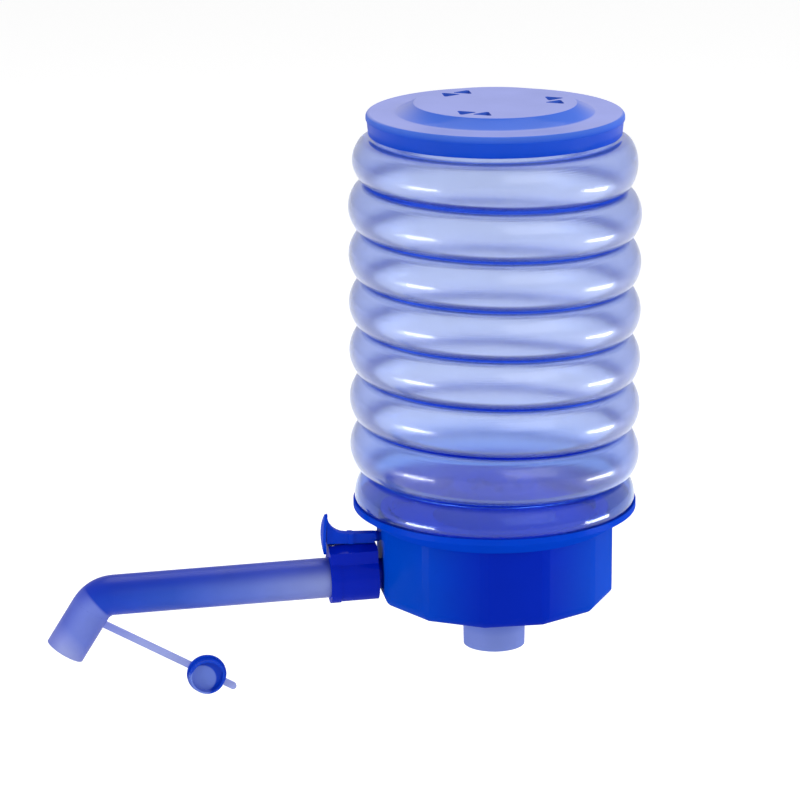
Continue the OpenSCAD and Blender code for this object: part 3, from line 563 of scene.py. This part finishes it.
NODE_FINISH = {
    "top_cap": CAP_BLUE, "cap_clamp_ring": CAP_BLUE, "intake_valve_button": CAP_BLUE,
    "bellows_saucer": SAUCER_BLUE, "bellows_clamp_ring": SAUCER_BLUE, "discharge_valve_button": SAUCER_BLUE,
    "base_drum": BASE_BLUE, "water_duct": BASE_BLUE, "spout_socket": SOCKET_BLUE, "vent_lever": LEVER_BLUE,
    "suction_stub": STUB_BLUE, "stopper_strap": STRAP_BLUE, "stopper_plug": PLUG_BLUE,
    "spout_tube": SPOUT_CLEAR,
    "intake_valve_disc": SOFT_RUBBER, "discharge_valve_disc": SOFT_RUBBER, "neck_seal": SOFT_RUBBER,
    "neck_grip_ring": SOFT_RUBBER, "vent_pad": PAD_RUBBER,
    "base_gasket": BLACK_RUBBER, "duct_o_ring": BLACK_RUBBER, "socket_o_ring": BLACK_RUBBER,
    "spout_o_ring": BLACK_RUBBER, "lever_pin": BRIGHT_WIRE, "lever_spring": BRIGHT_WIRE,
}


def finish_cad_nodes():
    for name, material in NODE_FINISH.items():
        cad_node = nodes[name]
        if not cad_node.material_slots:
            cad_node.data.materials.append(material)
        for place in cad_node.material_slots:
            place.material = material


finish_cad_nodes()


# Mesh helpers
def mesh_object(name, points, faces, material, smooth=True):
    mesh = bpy.data.meshes.new(name)
    mesh.from_pydata(points, [], faces)
    mesh.update()
    if smooth:
        mesh.shade_smooth()
    mesh.materials.append(material)
    piece = bpy.data.objects.new(name, mesh)
    scene.collection.objects.link(piece)
    return piece


def revolve(profile, steps, bend=None):
    """Points and faces of a closed profile of (radius, height) turned about the pump's axis."""
    points, faces = [], []
    count = len(profile)
    for step in range(steps):
        turn = 2 * math.pi * step / steps
        for radius, height in profile:
            x, y = radius * math.cos(turn), radius * math.sin(turn)
            points.append(bend(x, y, height) if bend else (x, y, height))
    for step in range(steps):
        here, there = step * count, ((step + 1) % steps) * count
        for k in range(count):
            nxt = (k + 1) % count
            faces.append((here + k, there + k, there + nxt, here + nxt))
    return points, faces


def arc(cx, cz, radius, start, stop, count):
    """Points on an arc, angles in degrees, both ends included."""
    out = []
    for k in range(count + 1):
        angle = math.radians(start + (stop - start) * k / count)
        out.append((cx + radius * math.cos(angle), cz + radius * math.sin(angle)))
    return out


# Bellows
def bellows_line(inset):
    """The wall's line from foot to collar, set in from the outer face."""
    edge_z = HALF_RING - EDGE_R
    edge_out = math.sqrt((CROWN_R - EDGE_R) ** 2 - edge_z ** 2)
    join = math.degrees(math.asin(edge_z / (CROWN_R - EDGE_R)))
    line = []
    for k in range(RING_COUNT):
        radius = RING_R - (END_INSET if k in (0, RING_COUNT - 1) else 0)
        z = FIRST_RING + k * RING_PITCH
        c = radius - CROWN_R
        if k == 0:
            line += arc(radius - FOOT_CURVE_R, z, FOOT_CURVE_R - inset, math.degrees(CONE_ANGLE) - 90, 0, 8)
            line += arc(c, z, CROWN_R - inset, join / 4, join * 3 / 4, 2)
        else:
            line.append((GROOVE_R - inset, z - HALF_RING + inset))
            line += arc(c + edge_out, z - edge_z, EDGE_R - inset, -90, -join, 8)
            line += arc(c, z, CROWN_R - inset, -join * 3 / 4, join * 3 / 4, 6)
        line += arc(c + edge_out, z + edge_z, EDGE_R - inset, join, 90, 8)
        if k < RING_COUNT - 1:
            line.append((GROOVE_R - inset, z + HALF_RING - inset))
    return line


def bellows_profile():
    outer = bellows_line(0.0)
    inner = bellows_line(WALL)
    top = COLLAR_Z + COLLAR_H
    foot_end = outer[0]
    foot_line = foot_end[0] - (foot_end[1] - FOOT_Z) / math.tan(CONE_ANGLE)
    tuck = WALL * math.tan(CONE_ANGLE / 2)
    return (
        [(FOOT_R, FOOT_Z), (foot_line, FOOT_Z)] + outer
        + [(COLLAR_R, COLLAR_Z), (COLLAR_R, top), (COLLAR_R - WALL, top), (COLLAR_R - WALL, COLLAR_Z - WALL)]
        + inner[::-1]
        + [(foot_line - tuck, FOOT_Z + WALL), (FOOT_R, FOOT_Z + WALL)]
    )


def ring_lean(x, y, z):
    """The rings tip a little towards +X, and the collar and the foot stay level."""
    low = min(max((z - LEAN_FROM) / LEAN_FADE, 0.0), 1.0)
    high = min(max((LEAN_TO - z) / LEAN_FADE, 0.0), 1.0)
    share = min(low, high)
    share = share * share * (3 - 2 * share)
    return (x, y, z - x * RING_LEAN * share)


def make_bellows():
    points, faces = revolve(bellows_profile(), BELLOWS_STEPS, ring_lean)
    shell = mesh_object("bellows_shell", points, faces, BELLOWS_CLEAR)
    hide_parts("bellows")
    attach(shell, "base")
    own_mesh(shell)


make_bellows()


# Top cap
def cap_profile():
    """Outline of the cap from its middle out over the plateau and the rim, down the skirt and back inside."""
    under = CAP_RIM_Z - CAP_TOP_T
    top = CAP_RIM_Z + PLATEAU_H
    skirt_low = CAP_RIM_Z - SKIRT_H
    step_z = CAP_RIM_Z - LIP_H
    skirt_r = CAP_R - LIP_STEP - SKIRT_DRAW
    return (
        [(AXIS_HOLE, top), (PLATEAU_R - PLATEAU_TOP_IN, top)]
        + arc(PLATEAU_R - PLATEAU_EDGE_IN, top - PLATEAU_EDGE_R, PLATEAU_EDGE_R, 90, 32, 4)
        + [(PLATEAU_FOOT_R - SLOPE_FOOT_IN, CAP_RIM_Z + SLOPE_FOOT_RISE),
           (PLATEAU_FOOT_R, CAP_RIM_Z - TRENCH_START_DIP), (PLATEAU_FOOT_R + TRENCH_W, CAP_RIM_Z - TRENCH_DIP),
           (CAP_R - RIM_FLAT_IN, CAP_RIM_Z - RIM_FLAT_DIP)]
        + arc(CAP_R - RIM_EDGE_R, CAP_RIM_Z - RIM_EDGE_R, RIM_EDGE_R, 95, 0, 10)
        + [(CAP_R, step_z + STEP_RISE), (CAP_R - LIP_STEP, step_z - STEP_FALL),
           (skirt_r, skirt_low + SKIRT_EDGE_H), (skirt_r - SKIRT_EDGE_W, skirt_low),
           (CAP_R - CAP_WALL, skirt_low), (CAP_R - CAP_WALL, under), (PLATEAU_FOOT_R - UNDER_IN, under),
           (PLATEAU_R - UNDER_IN, top - CAP_TOP_T), (AXIS_HOLE, top - CAP_TOP_T)]
    )


def rounded_triangle(x, y, turn, low, high):
    """A vent's cutter: a triangle with rounded corners."""
    ring = []
    for k in range(3):
        angle = turn + k * 2 * math.pi / 3
        out = VENT_R - 2 * VENT_CORNER
        cx, cy = x + out * math.cos(angle), y + out * math.sin(angle)
        for step in range(VENT_CORNER_STEPS + 1):
            round_at = angle - math.pi / 3 + step * 2 * math.pi / 3 / VENT_CORNER_STEPS
            ring.append((cx + VENT_CORNER * math.cos(round_at), cy + VENT_CORNER * math.sin(round_at)))
    count = len(ring)
    points = [(px, py, low) for px, py in ring] + [(px, py, high) for px, py in ring]
    faces = [tuple(range(count))[::-1], tuple(range(count, 2 * count))]
    faces += [(k, (k + 1) % count, count + (k + 1) % count, count + k) for k in range(count)]
    return points, faces


def cut_out(piece, cutter):
    """Cuts one closed mesh out of another, for good."""
    cut = piece.modifiers.new("cut", "BOOLEAN")
    cut.operation, cut.solver, cut.object = "DIFFERENCE", "EXACT", cutter
    bpy.context.view_layer.update()
    shaped = bpy.data.meshes.new_from_object(piece.evaluated_get(bpy.context.evaluated_depsgraph_get()))
    piece.modifiers.clear()
    piece.data = shaped
    bpy.data.objects.remove(cutter)


def make_cap():
    points, faces = revolve(cap_profile(), CAP_STEPS)
    cap = mesh_object("cap_shell", points, faces, CAP_BLUE)
    top = CAP_RIM_Z + PLATEAU_H
    for k in range(3):
        for side in (-1, 1):
            swing = 2 * math.pi * k / 3
            x, y = VENT_CIRCLE_R, side * VENT_PAIR_GAP / 2
            turn = swing + (0 if side * (-1 if k == 2 else 1) > 0 else math.pi)
            spot = (x * math.cos(swing) - y * math.sin(swing), x * math.sin(swing) + y * math.cos(swing))
            points, faces = rounded_triangle(*spot, turn, top - 2 * CAP_TOP_T, top + CAP_TOP_T)
            cut_out(cap, mesh_object("vent_cutter", points, faces, CAP_BLUE, smooth=False))
    cap.data.shade_smooth()
    cap.data.set_sharp_from_angle(angle=SHARP_ANGLE)
    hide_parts("top_cap")
    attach(cap, "head")


make_cap()


# Studio
LAMP_TARGET = Vector((0, 0, 0.1))
WORLD_LIGHT = 0.65
WORLD_SEEN = 0.35
WORLD_STRAIGHT = 0.3
FLOOR_HALF = 3.0
FLOOR_Z = -0.16
FLOOR_GLOW = 0.5


def soft_box(name, location, width, height, strength):
    data = bpy.data.lights.new(name, "AREA")
    data.shape = "RECTANGLE"
    data.size, data.size_y = width, height
    data.energy = strength
    lamp = bpy.data.objects.new(name, data)
    scene.collection.objects.link(lamp)
    lamp.location = location
    lamp.rotation_mode = "QUATERNION"
    lamp.rotation_quaternion = (LAMP_TARGET - Vector(location)).to_track_quat("-Z", "Y")
    return lamp


def seen_rays(tree):
    """Two masks: all rays that show the studio, also through a wall or in a gloss, and the straight ones."""
    path = add(tree, "ShaderNodeLightPath")
    seen = math_node(tree, "MAXIMUM", path.outputs["Is Camera Ray"], path.outputs["Is Transmission Ray"])
    return math_node(tree, "MAXIMUM", seen, path.outputs["Is Glossy Ray"]), path.outputs["Is Camera Ray"]


def white_world():
    world = bpy.data.worlds.new("white_studio")
    scene.world = world
    world.use_nodes = True
    tree = world.node_tree
    tree.nodes.clear()
    output = add(tree, "ShaderNodeOutputWorld")
    backdrop = add(tree, "ShaderNodeBackground")
    seen, straight = seen_rays(tree)
    lift = math_node(tree, "ADD", math_node(tree, "MULTIPLY", seen, WORLD_SEEN), WORLD_LIGHT)
    lift = math_node(tree, "ADD", lift, math_node(tree, "MULTIPLY", straight, WORLD_STRAIGHT))
    tree.links.new(lift, backdrop.inputs["Strength"])
    tree.links.new(backdrop.outputs[0], output.inputs["Surface"])


def floor_paper():
    material, tree, shader, _ = new_material("floor_paper")
    shader.inputs["Base Color"].default_value = (0.8, 0.8, 0.8, 1.0)
    shader.inputs["Roughness"].default_value = 0.9
    seen, _ = seen_rays(tree)
    shader.inputs["Emission Color"].default_value = (1, 1, 1, 1)
    tree.links.new(math_node(tree, "MULTIPLY", seen, FLOOR_GLOW), shader.inputs["Emission Strength"])
    return material


def make_floor():
    corners = [(x * FLOOR_HALF, y * FLOOR_HALF, FLOOR_Z) for x, y in ((-1, -1), (1, -1), (1, 1), (-1, 1))]
    floor = mesh_object("studio_floor", corners, [(0, 1, 2, 3)], floor_paper(), smooth=False)


def hang_lamps():
    """A large lamp in front that leaves no mirror image, two low strips at the sides and one above."""
    front_box = soft_box("front_box", (0.9, -2.4, 1.4), 2.2, 1.6, 26.0)
    front_box.visible_glossy = False
    soft_box("left_low_box", (-0.62, -0.22, -0.1), 0.3, 0.07, 1.3)
    soft_box("right_low_box", (0.6, -0.12, -0.1), 0.3, 0.07, 1.3)
    soft_box("top_box", (0.1, 0.5, 1.3), 1.0, 0.9, 8.0)


white_world()
make_floor()
hang_lamps()
